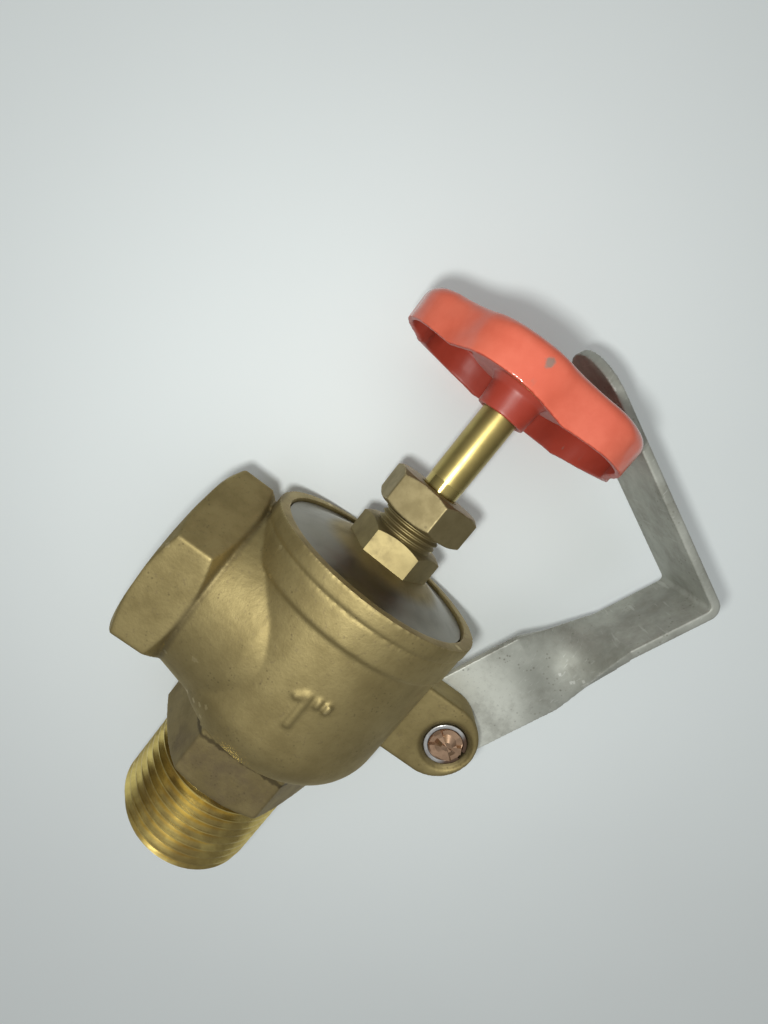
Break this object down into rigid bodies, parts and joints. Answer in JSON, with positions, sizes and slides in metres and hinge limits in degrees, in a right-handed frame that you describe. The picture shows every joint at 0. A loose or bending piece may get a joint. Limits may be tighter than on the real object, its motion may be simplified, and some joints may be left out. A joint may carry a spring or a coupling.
{
  "type": "lockable gate valve",
  "caption": "Brass angle valve with screwed inlet, hexagon side port, red handwheel and a folded zinc lock strap hinged on a side lug",
  "frame": {"origin": "centre of the inlet thread, at the start of its full diameter by the open end", "axes": "+Z along the stem from the inlet to the handwheel, -X out of the side port, +X to the lug, +Y the strap's side of the lug"},
  "size_m": [0.0992, 0.0526, 0.1385],
  "materials": {
    "cast_brass": "sandblasted casting",
    "turned_brass": "turned",
    "nut_brass": "machined bar",
    "stem_brass": "polished",
    "red_paint": "glossy paint",
    "zinc_strap": "stained zinc coat",
    "zinc_steel": "zinc coat",
    "spring_steel": "bright",
    "copper": "peened",
    "rubber": "matte",
    "gasket": "matte",
    "packing": "greased graphite cord"
  },
  "bodies": {
    "housing": {"body": "cast_brass", "bonnet": "turned_brass", "bonnet_gasket": "gasket", "packing_washer": "turned_brass", "packing_ring_lower": "packing", "packing_ring_upper": "packing", "gland_follower": "turned_brass", "gland_nut": "nut_brass", "hinge_sleeve": "spring_steel", "hinge_rivet": "copper"},
    "disc": {"disc_holder": "turned_brass", "disc_collar_nut": "turned_brass", "disc_washer": "rubber", "disc_plate": "turned_brass", "disc_nut": "turned_brass"},
    "wheel": {"stem": "stem_brass", "handwheel": "red_paint", "wheel_washer": "zinc_steel", "wheel_nut": "zinc_steel"},
    "strap": {"lock_strap": "zinc_strap"}
  },
  "joints": [
    {"name": "stem_lift", "type": "slide", "parent": "housing", "child": "disc", "axis": [0, 0, 1], "range_m": [-0.012, 0]},
    {"name": "wheel_turn", "type": "hinge", "parent": "disc", "child": "wheel", "pos_m": [0, 0, 0.1], "axis": [0, 0, 1], "range_deg": [-1440, 0]},
    {"name": "strap_swing", "type": "hinge", "parent": "housing", "child": "strap", "pos_m": [0.0371, 0.0055, 0.0523], "axis": [0, 1, 0], "range_deg": [0, 120]}
  ],
  "couplings": [
    {"joint": "wheel_turn", "follows": "stem_lift", "rad_per_m": 2094.4}
  ]
}
